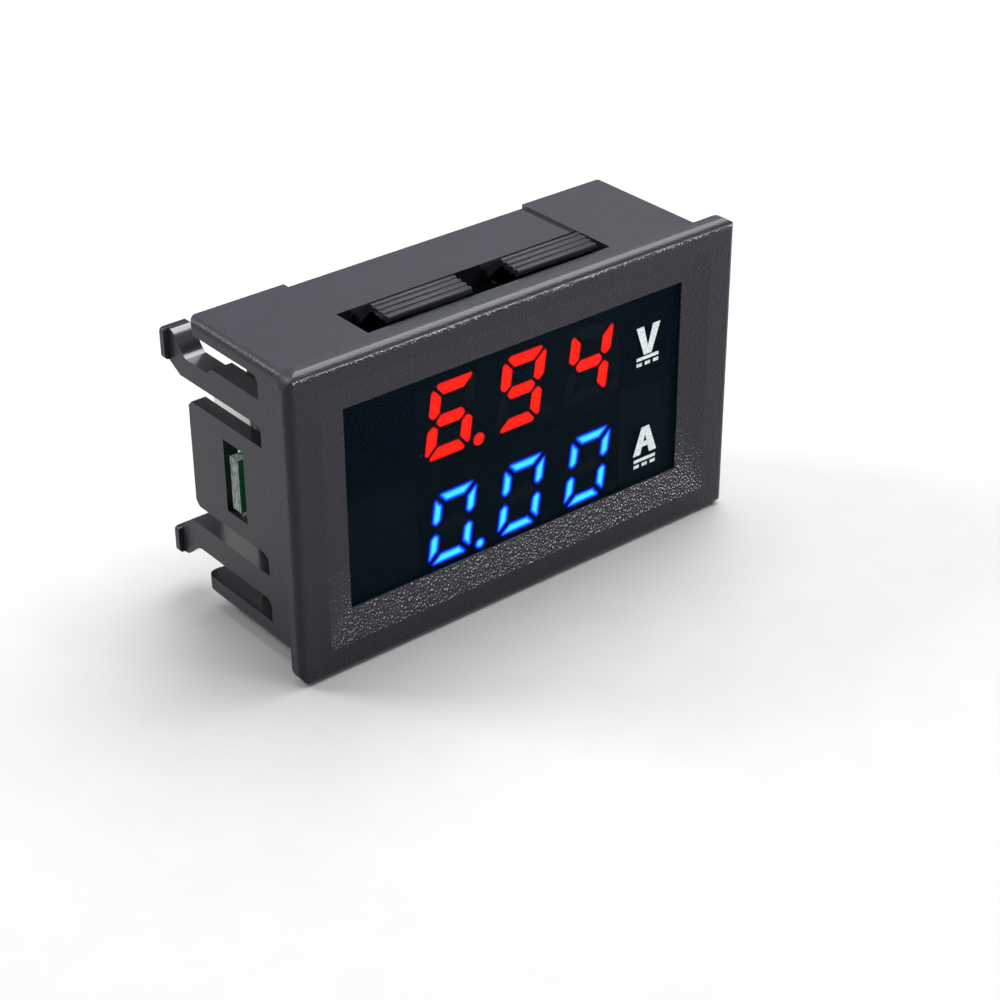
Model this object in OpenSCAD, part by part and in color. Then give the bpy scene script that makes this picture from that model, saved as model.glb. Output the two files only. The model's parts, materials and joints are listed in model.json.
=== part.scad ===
// Dual digital panel meter: volts above, amps below, in a snap-in moulded housing.
// Axes: +X to the right of the display, +Y behind the panel, +Z up.
// Origin: centre of the panel seat, which is the rear face of the bezel.

/* [Bezel] */
// Width of the front bezel
bezel_w = 48; // [47:0.5:52]
// Height of the front bezel
bezel_h = 29; // [28:0.5:33]
// Thickness of the bezel in front of the panel
bezel_t = 1.6; // [1.4:0.1:2.4]
// Radius of the four bezel corners
bezel_corner_r = 1.5; // [0.6:0.1:2]
// Radius of the front edges of the bezel
bezel_edge_r = 0.9; // [0.4:0.1:1.2]
// Width of the display window
window_w = 36.6; // [34:0.2:37]
// Height of the display window
window_h = 18.8; // [18:0.2:19.4]
// Width of the sloped frame round the window
slope_w = 2.7; // [1.6:0.1:2.8]
// Depth of the sloped frame
slope_d = 0.8; // [0.4:0.05:0.9]
// Thickness of the rim between the slope and the lens
window_rim = 0.15; // [0.1:0.05:0.4]

/* [Housing] */
// Width of the housing behind the panel
body_w = 45.3; // [44.6:0.1:46]
// Height of the housing behind the panel
body_h = 26.6; // [26.2:0.1:27]
// Depth of the housing behind the panel seat
body_d = 14.7; // [14:0.1:17]
// Radius of the long edges of the housing
body_corner_r = 0.8; // [0.4:0.1:1.2]
// Radius of the upright rear edges
rear_corner_r = 0.9; // [0.4:0.1:1.3]
// Length of the bevel under the rear edge
bevel_l = 2.2; // [1:0.1:2.5]
// Height of the bevel under the rear edge
bevel_h = 1.1; // [0.4:0.1:1.2]
// Thickness of the two side walls
side_wall = 1.4; // [1.1:0.1:1.6]
// Mean thickness of the top and bottom walls
top_wall = 1.6; // [1.5:0.05:1.8]
// Rise of the inside, the window and the arms above the centre of the housing
core_rise = 0.25; // [0:0.05:0.3]
// How far the centre tab of each side reaches behind the housing
side_tab_l = 0.75; // [0.4:0.05:1]
// Depth of the front wall behind the panel seat
front_wall = 0.6; // [0.4:0.1:1]
// Depth of the shallow recess behind each clip opening
recess_d = 0.4; // [0.2:0.05:0.5]

/* [Side arms] */
// Mean height of the strips outside the outer slots
band_h = 1.65; // [1.5:0.05:1.8]
// Height of the outer slot
outer_slot_h = 2.15; // [1.8:0.05:2.3]
// Height of each arm
arm_h = 2.4; // [2.1:0.1:2.6]
// Height of the inner slot
inner_slot_h = 2; // [1.6:0.1:2.2]
// Distance from the panel seat to the root of the arms
slot_front = 4.6; // [3.5:0.1:6]
// Radius of the upper front corner of each slot
slot_r = 0.8; // [0.3:0.1:1]
// Thickness of an arm across the housing
arm_t = 2; // [1.7:0.1:2.2]
// Reach of the upper arms behind the housing
upper_reach = 3.6; // [3:0.1:5]
// Reach of the lower arms behind the housing
lower_reach = 4; // [3:0.1:5]
// Depth of the relief along the upper arms
arm_relief = 0.6; // [0.3:0.1:0.9]
// Rise of the hooks at the end of the upper arms
upper_rise = 2; // [1.2:0.1:2.4]
// Drop of the hooks at the end of the lower arms
lower_rise = 1.6; // [1.2:0.1:2.4]
// Thickness of the lip on a hook
lip_t = 0.6; // [0.4:0.1:1]
// How far the upper lips stand out
upper_lip = 0.55; // [0.3:0.05:1]
// How far the lower lips stand out
lower_lip = 0.5; // [0.2:0.05:1]

/* [Clip tongues] */
// Width of the clip opening in the top and bottom walls
clip_w = 26; // [25:0.5:28]
// Distance from the panel seat to the clip opening
clip_front = 2.8; // [2.4:0.1:3.2]
// Length of the clip opening
clip_l = 5.1; // [4.6:0.1:5.1]
// Width of each tongue
tongue_w = 8.7; // [7:0.1:9.5]
// Gap between the two tongues
tongue_gap = 5; // [4.4:0.2:6]
// Offset of the pair of tongues to the right of the centre
tongue_shift = 0.35; // [0:0.05:0.5]
// Height of the tongue peak above the housing
tongue_peak = 0.95; // [0.6:0.05:1.2]
// Thickness of the pad of a tongue between its ridges
tongue_t = 0.36; // [0.3:0.02:0.5]
// Number of gripping ridges on a tongue
ridges = 4; // [3:1:5]
// Radius of the ridges
ridge_r = 0.33; // [0.25:0.01:0.36]
// Thickness of the cross rib that carries the tongues
clip_rib_t = 1.2; // [0.9:0.1:1.5]

/* [Lens] */
// Thickness of the smoked lens
lens_t = 0.5; // [0.3:0.05:0.7]
// How far the lens reaches behind the frame on each side
lens_overlap = 1.5; // [0.8:0.1:1.6]

/* [Circuit board] */
// Distance from the panel seat to the front of the board
board_front = 8.5; // [8.4:0.1:9]
// Thickness of the board
board_t = 1.2; // [1:0.1:1.6]
// Height of the board
board_h = 20.8; // [20.8:0.1:21.6]
// Drop of the board and the displays below the centre of the housing
board_drop = 0.2; // [0.1:0.05:0.25]
// Height of the side tabs of the board
tab_h = 5; // [4:0.1:5.6]
// Height of the windows that hold the side tabs
tab_window_h = 6.9; // [6.5:0.1:7.5]
// Width of the break-off stub on the top edge
stub_w = 2.8; // [1.2:0.1:3]
// Height of the break-off stub
stub_h = 0.5; // [0.3:0.1:1]

/* [Displays] */
// Width of a three-digit display
display_w = 23.2; // [23.1:0.1:23.6]
// Height of a three-digit display
display_h = 10.2; // [9.8:0.1:10.3]
// Depth of a display
display_d = 6.3; // [5.6:0.1:7]
// Height of a digit
digit_h = 7; // [6:0.1:7.2]
// Width of an upright digit
digit_w = 4.8; // [4.2:0.1:4.9]
// Distance from one digit to the next
digit_pitch = 7.6; // [7.3:0.1:7.7]
// Slant of the digits
digit_slant = 8; // [0:1:10]
// Width of a segment
seg_w = 1.15; // [0.8:0.05:1.2]
// Gap between two segments
seg_gap = 0.26; // [0.1:0.02:0.3]
// Digits shown in the upper row
volt_digits = [6, 9, 4];
// Digits shown in the lower row
amp_digits = [0, 0, 0];

/* [Headers] */
// Pitch of the two heavy current pins
current_pitch = 3.96; // [3.5:0.01:4.2]
// Height of the current header's latch wall above the board
current_header_h = 9; // [8:0.1:9.4]
// Pitch of the three supply and sense pins
power_pitch = 2; // [1.8:0.05:2.2]
// Height of the supply header above the board
power_header_h = 6; // [5:0.1:7]

/* [Trimmers] */
// Side of a square trimmer body
trimmer_w = 3.8; // [3.4:0.1:4.2]
// Height of a trimmer body
trimmer_h = 1.3; // [1.2:0.1:1.6]
// Diameter of the turning disc
rotor_d = 2.6; // [2:0.1:3]
// Diameter of the rotor stem
rotor_stem_d = 1.2; // [0.8:0.1:1.6]

/* [Hidden] */
$fn = 48;

// Clearances
fit = 0.1;          // loose parts dropped into a pocket
seat_gap = 0.3;     // parts that must pass each other on assembly
run_gap = 0.05;     // radial play of a turning stem
seg_fit = 0.02;     // segments in their pockets
merge = 0.2;        // overlap that joins features of one moulding
past = 2;           // extra length of a cutting tool

// Housing
half_w = body_w / 2;
half_h = body_h / 2;
inner_half_w = half_w - side_wall;
inner_half_h = half_h - top_wall;
slot_top = half_h - band_h;
arm_out = slot_top - outer_slot_h;
arm_in = arm_out - arm_h;
tab_half = arm_in - inner_slot_h;
tab_bevel = 0.5;
tab_end = body_d + side_tab_l;
relief_start = slot_front + 6.8;
relief_run = 0.8;
bend_out = body_d + 0.5;
bend_in = body_d + 1.7;
hook_top_l = 0.8;
hook_steps = 8;
heel_drop = 0.1;
upper_climb = 0.95;
lower_climb = 1.5;
lip_corner_r = 0.35;
tab_play_front = 1;
tab_play_rear = 0.75;
tab_window_front = board_front - tab_play_front;
tab_window_rear = board_front + board_t + tab_play_rear;
clip_rear = clip_front + clip_l;
stop_rib_w = 1.2;
stop_rib_x = clip_w / 2 + 2;
stop_rib_lap = 0.8;

// Tongue profile
ramp_foot_z = half_h - 1;
peak_y = clip_rear - 2.6;
peak_z = half_h + tongue_peak;
pad_drop = 0.25;
nose_y = clip_front + fit + ridge_r;
ridge_pitch = (peak_y - nose_y) / (ridges - 1);
wedge_l = 0.7;
wedge_t = 0.3;

// Lens
lens_front = -bezel_t + slope_d + window_rim;
lens_rear = lens_front + lens_t;
lens_w = window_w + 2 * lens_overlap;
lens_h = window_h + 2 * lens_overlap;

// Board
board_rear = board_front + board_t;
board_half_w = half_w - arm_t - seat_gap;
board_top = board_h / 2 - board_drop;
board_bottom = -board_h / 2 - board_drop;
tab_reach = half_w - fit;
tab_z = 0.1 - board_drop;
stub_x = 3;
stub_z = board_top + stub_h;

// Displays
display_x = 0.6;
display_gap = 0.1;
display_front = lens_rear + 0.05;
display_rear = display_front + display_d;
volt_z = (display_h + display_gap) / 2 - board_drop;
amp_z = -(display_h + display_gap) / 2 - board_drop;
seg_depth = 1;
corner_cut = 0.55;
digit_drop = 0.2;
point_d = 1.2;
point_x = 2.95;
point_z = -3.15;
pins_per_row = 6;
pin_pitch = 2.54;
pin_row = 4;
pin_d = 0.5;
pin_hole_d = 0.9;
pin_tail = 1;
// Lit bars of each numeral: top, upper right, lower right, bottom, lower left, upper left, middle
BARS = [[1, 1, 1, 1, 1, 1, 0], [0, 1, 1, 0, 0, 0, 0], [1, 1, 0, 1, 1, 0, 1],
    [1, 1, 1, 1, 0, 0, 1], [0, 1, 1, 0, 0, 1, 1], [1, 0, 1, 1, 0, 1, 1],
    [1, 0, 1, 1, 1, 1, 1], [1, 1, 1, 0, 0, 0, 0], [1, 1, 1, 1, 1, 1, 1],
    [1, 1, 1, 1, 0, 1, 1]];

// Headers
current_x = -board_half_w + 5.6;
current_w = 7;
current_base_h = 3.3;
current_end = 1.97;
current_latch_t = 1.1;
current_pin = 1.14;
current_hole_d = 1.9;
power_x = board_half_w - 3.3;
power_w = 4.5;
power_end = 1.95;
power_wall = 0.6;
power_floor = 1.6;
power_pin = 0.5;
power_hole_d = 0.9;
header_z = 0.05 - board_drop;
tail = 1.3;
catch_w = 5.5;
catch_out = 0.5;
catch_foot = 1.9;
catch_peak = 1.5;
catch_head = 0.5;
current_pin_drop = 0.6;
key_slot_w = 1;
key_sill = 1;
power_pin_drop = 1;

// Trimmers
trimmer_x = board_half_w - 8.8;
volt_trimmer_z = board_top - 3.55;
amp_trimmer_z = board_bottom + 3.65;
rotor_t = 0.6;
rotor_gap = 0.1;
stem_l = 0.9;
cross_w = 0.45;
cross_d = 0.3;
terminal_w = 0.8;
terminal_l = 0.5;
terminal_t = 0.25;

// Shunt
shunt_x = -board_half_w + 5.2;
shunt_z = board_bottom + 2.95;
shunt_span = 7;
shunt_d = 1.3;
shunt_h = 3.2;
shunt_bend_r = 1.3;

// Chips: length, width, height, number of leads on a side, lead pitch
controller = [6.5, 4.4, 1.1, 10, 0.65];
amplifier = [4.9, 3.9, 1.5, 4, 1.27];
lead_w = 0.3;
lead_t = 0.15;
lead_l = 0.95;
lead_knee = 0.3;
lead_foot = 0.5;
stand_off = 0.1;
chip_rake = 0.1;
controller_x = display_x;
amplifier_x = display_x - 2.9;
regulator_x = display_x + 3.7;
regulator_w = 4.5;
regulator_l = 2.5;
regulator_h = 1.5;
regulator_pitch = 1.5;
regulator_lead_w = 0.45;
regulator_lead_l = 0.8;
regulator_lead_t = 0.4;
regulator_tab_w = 1.7;
regulator_tab_l = 0.7;
diode_x = trimmer_x - 0.2;
diode_z = header_z;
diode_l = 4.3;
diode_w = 2.6;
diode_h = 2.1;
diode_lead_l = 0.6;
diode_lead_w = 1.5;
diode_lead_t = 0.9;
small_chip = [1.6, 0.8, 0.45];
large_chip = [2, 1.25, 0.9];
cap_l = 0.3;
// Centres of the small chips on the board, across and up
resistor_x = display_x + display_w / 2 - 3.5;
resistor_pitch = 1.5;
RESISTOR_Z = [for (top = [volt_z + 3.2, amp_z + 1.8], k = [0 : 3]) top - k * resistor_pitch];
capacitor_x = display_x - display_w / 2 + 3.3;
capacitor_pitch = 2.4;
CAPACITOR_Z = concat([for (k = [0 : 2]) volt_z + 3.1 - k * capacitor_pitch],
    [for (k = [0 : 1]) amp_z + 2.2 - k * capacitor_pitch]);

// Solder
solder_r = 0.6;
solder_tip_r = 0.36;
solder_h = 0.7;

// ---------- helpers ----------

// Sweeps a profile drawn in X and Z from y0 to y1
module along_y(y0, y1)
    translate([0, y1, 0]) rotate([90, 0, 0]) linear_extrude(y1 - y0) children();

// Sweeps a profile drawn in Y and Z from x0 to x1
module along_x(x0, x1)
    translate([x0, 0, 0]) rotate([90, 0, 90]) linear_extrude(x1 - x0) children();

module rounded_rect(w, h, r) {
    square([w - 2 * r, h], center = true);
    square([w, h - 2 * r], center = true);
    for (sx = [-1, 1], sz = [-1, 1])
        translate([sx * (w / 2 - r), sz * (h / 2 - r)]) circle(r);
}

// Block given by its low and high corners
module block(low, high)
    translate(low) cube(high - low);

// ---------- housing ----------

// Depth profile of the bezel with its two front edges rounded
module bezel_edge(width) {
    translate([bezel_edge_r - bezel_t, -width / 2]) square([bezel_t - bezel_edge_r, width]);
    translate([-bezel_t, bezel_edge_r - width / 2]) square([bezel_t, width - 2 * bezel_edge_r]);
    for (side = [-1, 1])
        translate([bezel_edge_r - bezel_t, side * (width / 2 - bezel_edge_r)]) circle(bezel_edge_r);
}

module bezel_blank()
    intersection() {
        along_y(-bezel_t, 0) rounded_rect(bezel_w, bezel_h, bezel_corner_r);
        along_x(-bezel_w / 2, bezel_w / 2) bezel_edge(bezel_h);
        translate([0, 0, -bezel_h / 2]) linear_extrude(bezel_h) rotate(90) bezel_edge(bezel_w);
    }

// Housing block with round upright rear edges and a bevel under the rear edge
module body_blank()
    intersection() {
        along_y(-merge, body_d) rounded_rect(body_w, body_h, body_corner_r);
        translate([0, 0, -half_h]) linear_extrude(body_h) {
            translate([-half_w, -merge]) square([body_w, body_d + merge - rear_corner_r]);
            translate([rear_corner_r - half_w, -merge])
                square([body_w - 2 * rear_corner_r, body_d + merge]);
            for (side = [-1, 1])
                translate([side * (half_w - rear_corner_r), body_d - rear_corner_r])
                    circle(rear_corner_r);
        }
        along_x(-half_w, half_w)
            polygon([[-merge, -half_h], [body_d - bevel_l, -half_h],
                [body_d - bevel_l * 0.3, bevel_h * 0.55 - half_h], [body_d, bevel_h - half_h],
                [body_d, half_h], [-merge, half_h]]);
    }

// Rectangular funnel: the sloped frame round the window
module window_slope() {
    front = -bezel_t;
    back = slope_d - bezel_t;
    grow = slope_w / slope_d;
    intersection() {
        along_x(-window_w, window_w)
            polygon([[front - 1, -window_h / 2 - slope_w - grow], [back, -window_h / 2],
                [back, window_h / 2], [front - 1, window_h / 2 + slope_w + grow]]);
        translate([0, 0, -window_h]) linear_extrude(2 * window_h)
            polygon([[-window_w / 2 - slope_w - grow, front - 1], [-window_w / 2, back],
                [window_w / 2, back], [window_w / 2 + slope_w + grow, front - 1]]);
    }
}

// Side slot, open to the rear, with a round upper front corner
module slot_profile(low, high) {
    length = body_d + past - slot_front;
    translate([slot_front + slot_r, low]) square([length - slot_r, high - low]);
    translate([slot_front, low]) square([length, high - low - slot_r]);
    translate([slot_front + slot_r, high - slot_r]) circle(slot_r);
}

module side_cuts() {
    slot_profile(arm_out, slot_top);
    slot_profile(tab_half, arm_in);
    slot_profile(-arm_in, -tab_half);
    slot_profile(-slot_top, -arm_out);
    // relief along the upper arm
    polygon([[relief_start, arm_out + merge], [relief_start, arm_out],
        [relief_start + relief_run, arm_out - arm_relief],
        [body_d + past, arm_out - arm_relief], [body_d + past, arm_out + merge]]);
    // bevelled rear corners of the centre tab
    for (side = [-1, 1])
        polygon([[tab_end - tab_bevel, side * (tab_half + merge)],
            [tab_end - tab_bevel, side * tab_half], [tab_end, side * (tab_half - tab_bevel)],
            [tab_end + past, side * (tab_half - tab_bevel)],
            [tab_end + past, side * (tab_half + merge)]]);
    // window for the side tab of the board
    translate([tab_window_front, -tab_window_h / 2])
        square([tab_window_rear - tab_window_front, tab_window_h]);
}

// Arm drawn above the centre line: straight, then bent outwards in a soft curve to a flat hook end
module arm_profile(relief, climb, rise, reach) {
    end = body_d + reach;
    base = arm_out - relief;
    curve = [for (k = [hook_steps : -1 : 0])
        [bend_out + (end - hook_top_l - bend_out) * k / hook_steps,
         base + rise * (1 - cos(180 * k / hook_steps)) / 2]];
    polygon(concat([[front_wall - merge, arm_in], [bend_in, arm_in - heel_drop], [end, arm_in + climb],
        [end, base + rise]], curve,
        [[relief_start + relief_run, base], [relief_start, arm_out],
        [front_wall - merge, arm_out]]));
}

// Lip that stands out at the end of a hook, with round outer corners
module hook_lip(relief, climb, rise, reach, lip) {
    low = arm_in + climb;
    high = arm_out - relief + rise;
    along_y(body_d + reach - lip_t, body_d + reach)
        translate([half_w, (low + high) / 2]) rounded_rect(2 * lip, high - low, lip_corner_r);
}

module side_arm(relief, climb, rise, reach, lip) {
    along_x(half_w - arm_t, half_w) arm_profile(relief, climb, rise, reach);
    hook_lip(relief, climb, rise, reach, lip);
}

// Clip tongue: a wedge root that climbs to the peak, then a ridged pad down to the nose
module tongue_profile() {
    ridge_z = peak_z - ridge_r;
    for (k = [0 : ridges - 1])
        translate([peak_y - k * ridge_pitch, ridge_z - k * pad_drop / (ridges - 1)])
            circle(ridge_r);
    polygon([[peak_y, ridge_z + tongue_t / 2], [nose_y, ridge_z - pad_drop + tongue_t / 2],
        [nose_y, ridge_z - pad_drop - tongue_t / 2], [peak_y, ridge_z - tongue_t / 2]]);
    polygon([[clip_rear + merge, inner_half_h - wedge_t], [clip_rear + merge, ramp_foot_z],
        [clip_rear, ramp_foot_z], [peak_y + 0.5 * ridge_r, ridge_z + 0.8 * ridge_r],
        [peak_y, ridge_z - 0.8 * ridge_r], [clip_rear - wedge_l, inner_half_h]]);
}

module tongues()
    for (start = [-tongue_gap / 2 - tongue_w, tongue_gap / 2])
        along_x(tongue_shift + start, tongue_shift + start + tongue_w) tongue_profile();

// Places the children on the axis of the window and the inside
module core()
    translate([0, 0, core_rise]) children();

module housing() {
    color([0.24, 0.24, 0.26]) {
        difference() {
            union() {
                bezel_blank();
                body_blank();
                // centre tabs of the two sides
                core() for (start = [-half_w, inner_half_w])
                    block([start, body_d - rear_corner_r - merge, -tab_half],
                        [start + side_wall, tab_end, tab_half]);
            }
            core() {
                // window, lens pocket and inside
                window_slope();
                along_y(-bezel_t - past, front_wall + past)
                    square([window_w, window_h], center = true);
                along_y(lens_front, front_wall + past)
                    square([lens_w + 2 * fit, lens_h + 2 * fit], center = true);
                along_y(front_wall, body_d + past)
                    square([2 * inner_half_w, 2 * inner_half_h], center = true);
                for (side = [0, 1])
                    mirror([side, 0, 0]) along_x(inner_half_w - past, half_w + past) side_cuts();
            }
            // clip openings and the recesses behind them
            for (side = [0, 1])
                mirror([0, 0, side]) {
                    block([-clip_w / 2, clip_front, inner_half_h - past],
                        [clip_w / 2, clip_rear, half_h + past]);
                    block([-clip_w / 2, clip_front, half_h - recess_d],
                        [clip_w / 2, body_d + past, half_h + past]);
                }
        }
        for (side = [0, 1])
            mirror([side, 0, 0]) {
                core() {
                    side_arm(arm_relief, upper_climb, upper_rise, upper_reach, upper_lip);
                    mirror([0, 0, 1])
                        side_arm(0, lower_climb, lower_rise, lower_reach, lower_lip);
                }
                // stop ribs that the board seats on
                for (span = [[board_top - stop_rib_lap, core_rise + inner_half_h + merge],
                             [core_rise - inner_half_h - merge, board_bottom + stop_rib_lap]])
                    block([stop_rib_x, front_wall - merge, span[0]],
                        [stop_rib_x + stop_rib_w, board_front, span[1]]);
            }
        tongues();
        mirror([0, 0, 1]) tongues();
        // cross ribs that carry the tongues, just clear of the board
        difference() {
            block([-clip_w / 2 - merge, clip_rear, board_top + seat_gap],
                [clip_w / 2 + merge, clip_rear + clip_rib_t, half_h - recess_d]);
            block([stub_x - stub_w / 2 - seat_gap, clip_rear - 1, board_top],
                [stub_x + stub_w / 2 + seat_gap, clip_rear + clip_rib_t + 1, stub_z + seat_gap]);
        }
        block([-clip_w / 2 - merge, clip_rear, recess_d - half_h],
            [clip_w / 2 + merge, clip_rear + clip_rib_t, board_bottom - seat_gap]);
    }
}

module window_lens()
    color([0.05, 0.07, 0.09])
        core() along_y(lens_front, lens_rear) square([lens_w, lens_h], center = true);

// ---------- board ----------

// Centres of the pins of one display, relative to its own centre
function display_pin_places() = [for (row = [-1, 1], k = [0 : pins_per_row - 1])
    [display_x + (k - (pins_per_row - 1) / 2) * pin_pitch, row * pin_row]];

function header_places(pitch, count) = [for (k = [0 : count - 1])
    header_z + (k - (count - 1) / 2) * pitch];

shunt_places = [shunt_x - shunt_span / 2, shunt_x + shunt_span / 2];

module circuit_board()
    color([0.05, 0.35, 0.18])
        along_y(board_front, board_rear) difference() {
            union() {
                translate([-board_half_w, board_bottom]) square([2 * board_half_w, board_h]);
                translate([-tab_reach, tab_z - tab_h / 2]) square([2 * tab_reach, tab_h]);
                translate([stub_x - stub_w / 2, board_top - merge]) square([stub_w, stub_h + merge]);
            }
            for (z = [volt_z, amp_z], place = display_pin_places())
                translate([place[0], z + place[1]]) circle(d = pin_hole_d);
            for (z = header_places(current_pitch, 2))
                translate([current_x, z]) circle(d = current_hole_d);
            for (z = header_places(power_pitch, 3))
                translate([power_x, z]) circle(d = power_hole_d);
            for (x = shunt_places) translate([x, shunt_z]) circle(d = shunt_d + 0.4);
        }

// ---------- displays ----------

// Leans a point of a digit to the right
function lean(p) = [p[0] + p[1] * tan(digit_slant), p[1]];

half_digit_w = digit_w / 2;
half_digit_h = digit_h / 2;

// Outer bar across the top of a digit, cut at its corners along the mitres
function cross_bar(grow, flip) =
    let (gap = seg_gap / 2 - grow, corner = corner_cut - grow / 2,
         out = half_digit_h + grow, in = half_digit_h - seg_w - grow,
         reach = half_digit_w - sqrt(2) * gap)
    [for (p = [[-reach + corner, out], [reach - corner, out],
        [reach - corner / 3, out - corner / 3], [reach - out + in, in], [out - in - reach, in],
        [corner / 3 - reach, out - corner / 3]]) lean([p[0], flip * p[1]])];

// Upright bar at the upper right of a digit, mitred above and pointed in the middle
function side_bar(grow, side, flip) =
    let (gap = seg_gap / 2 - grow, corner = corner_cut - grow / 2,
         out = half_digit_w + grow, in = half_digit_w - seg_w - grow,
         top = half_digit_h - sqrt(2) * gap, foot = sqrt(2) * gap, mid = (out + in) / 2)
    [for (p = [[out, top - corner], [out - corner / 3, top - corner / 3], [in, top - out + in],
        [in, foot + mid - in], [mid, foot], [out, foot + mid - in]])
        lean([side * p[0], flip * p[1]])];

// Six-sided bar across the middle of a digit
function middle_bar(grow) =
    let (half = seg_w / 2 + grow,
         reach = half_digit_w - seg_w / 2 - sqrt(2) * (seg_gap / 2 - grow))
    [for (p = [[-reach, 0], [half - reach, half], [reach - half, half], [reach, 0],
        [reach - half, -half], [half - reach, -half]]) lean(p)];

// Outline of one bar of a digit, numbered as in BARS
function bar_outline(k, grow) =
    k == 0 ? cross_bar(grow, 1) :
    k == 1 ? side_bar(grow, 1, 1) :
    k == 2 ? side_bar(grow, 1, -1) :
    k == 3 ? cross_bar(grow, -1) :
    k == 4 ? side_bar(grow, -1, -1) :
    k == 5 ? side_bar(grow, -1, 1) :
    middle_bar(grow);

// Places the children at the centre of digit i of a row
module at_digit(i, z)
    translate([display_x + (i - 1) * digit_pitch, z - digit_drop]) children();

// The bars and points of a row that are lit, or the ones that are not
module row_bars(z, digits, want)
    for (i = [0 : 2]) at_digit(i, z) {
        for (k = [0 : 6])
            if (BARS[digits[i]][k] == want) polygon(bar_outline(k, 0));
        if ((i == 0 ? 1 : 0) == want) translate([point_x, point_z]) circle(d = point_d);
    }

module display_shell(z)
    along_y(display_front, display_rear)
        translate([display_x, z]) square([display_w, display_h], center = true);

module segment_pockets(z)
    along_y(display_front - past, display_front + seg_depth)
        for (i = [0 : 2]) at_digit(i, z) {
            for (k = [0 : 6]) polygon(bar_outline(k, seg_fit));
            translate([point_x, point_z]) circle(d = point_d + 2 * seg_fit);
        }

module display_body(z)
    color([0.1, 0.1, 0.11]) difference() {
        display_shell(z);
        segment_pockets(z);
    }

module display_segments(z, digits, want)
    along_y(display_front, display_front + seg_depth) row_bars(z, digits, want);

module display_pins(z)
    color([0.8, 0.8, 0.78])
        for (place = display_pin_places())
            along_y(display_rear, board_rear + pin_tail)
                translate([place[0], z + place[1]]) circle(d = pin_d);

module volt_display_shell() display_body(volt_z);
module amp_display_shell() display_body(amp_z);
module volt_display_lit_segments() color([1, 0.12, 0.04]) display_segments(volt_z, volt_digits, 1);
module amp_display_lit_segments() color([0.05, 0.5, 1]) display_segments(amp_z, amp_digits, 1);
module volt_display_dark_segments()
    color([0.2, 0.16, 0.16]) display_segments(volt_z, volt_digits, 0);
module amp_display_dark_segments()
    color([0.16, 0.17, 0.2]) display_segments(amp_z, amp_digits, 0);
module volt_display_pins() display_pins(volt_z);
module amp_display_pins() display_pins(amp_z);

// ---------- headers ----------

// Two-pin header: base, latch wall with its catch, and two side guides
module current_header() {
    low_z = header_z - current_pitch / 2 - current_end;
    high_z = header_z + current_pitch / 2 + current_end;
    left = current_x - current_w / 2;
    color([0.93, 0.92, 0.88]) difference() {
        union() {
            block([left, board_rear, low_z], [left + current_w, board_rear + current_base_h, high_z]);
            block([left, board_rear, low_z],
                [left + current_latch_t, board_rear + current_header_h, high_z]);
            // catch near the top of the latch wall
            translate([left + current_latch_t, board_rear + current_header_h, header_z - catch_w / 2])
                linear_extrude(catch_w)
                    polygon([[-merge, -catch_foot], [catch_out, -catch_peak], [-merge, -catch_head]]);
        }
        for (z = header_places(current_pitch, 2))
            block([current_x - current_pin / 2, board_rear - past, z - current_pin / 2],
                [current_x + current_pin / 2, board_rear + current_header_h + past,
                    z + current_pin / 2]);
    }
}

module current_header_pins()
    color([0.85, 0.84, 0.8])
        for (z = header_places(current_pitch, 2))
            block([current_x - current_pin / 2, board_front - tail, z - current_pin / 2],
                [current_x + current_pin / 2, board_rear + current_header_h - current_pin_drop,
                    z + current_pin / 2]);

// Three-pin shrouded header with two key slots in one long wall
module power_header() {
    low_z = header_z - power_pitch - power_end;
    high_z = header_z + power_pitch + power_end;
    left = power_x - power_w / 2;
    top = board_rear + power_header_h;
    color([0.93, 0.92, 0.88]) difference() {
        block([left, board_rear, low_z], [left + power_w, top, high_z]);
        block([left + power_wall, board_rear + power_floor, low_z + power_wall],
            [left + power_w - power_wall, top + past, high_z - power_wall]);
        for (side = [-1, 1])
            block([left - past, board_rear + power_floor + key_sill,
                   header_z + side * power_pitch - key_slot_w / 2],
                [left + power_wall + merge, top + past,
                 header_z + side * power_pitch + key_slot_w / 2]);
        for (z = header_places(power_pitch, 3))
            block([power_x - power_pin / 2, board_rear - past, z - power_pin / 2],
                [power_x + power_pin / 2, top, z + power_pin / 2]);
    }
}

module power_header_pins()
    color([0.85, 0.84, 0.8])
        for (z = header_places(power_pitch, 3))
            block([power_x - power_pin / 2, board_front - tail, z - power_pin / 2],
                [power_x + power_pin / 2, board_rear + power_header_h - power_pin_drop,
                    z + power_pin / 2]);

// ---------- trimmers ----------

module trimmer_body(z)
    color([0.9, 0.9, 0.86])
        difference() {
            block([trimmer_x - trimmer_w / 2, board_rear, z - trimmer_w / 2],
                [trimmer_x + trimmer_w / 2, board_rear + trimmer_h, z + trimmer_w / 2]);
            along_y(board_rear + trimmer_h - stem_l - rotor_gap, board_rear + trimmer_h + past)
                translate([trimmer_x, z]) circle(d = rotor_stem_d + 2 * run_gap);
        }

// Disc with a cross slot, on a stem that turns in the body
module trimmer_rotor(z) {
    disc_y = board_rear + trimmer_h + rotor_gap;
    color([0.8, 0.68, 0.42])
        difference() {
            union() {
                along_y(disc_y, disc_y + rotor_t) translate([trimmer_x, z]) circle(d = rotor_d);
                along_y(disc_y - stem_l, disc_y + merge)
                    translate([trimmer_x, z]) circle(d = rotor_stem_d);
            }
            for (turn = [0, 90])
                translate([trimmer_x, disc_y + rotor_t, z]) rotate([0, turn, 0])
                    cube([rotor_d * 0.75, 2 * cross_d, cross_w], center = true);
        }
}

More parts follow.
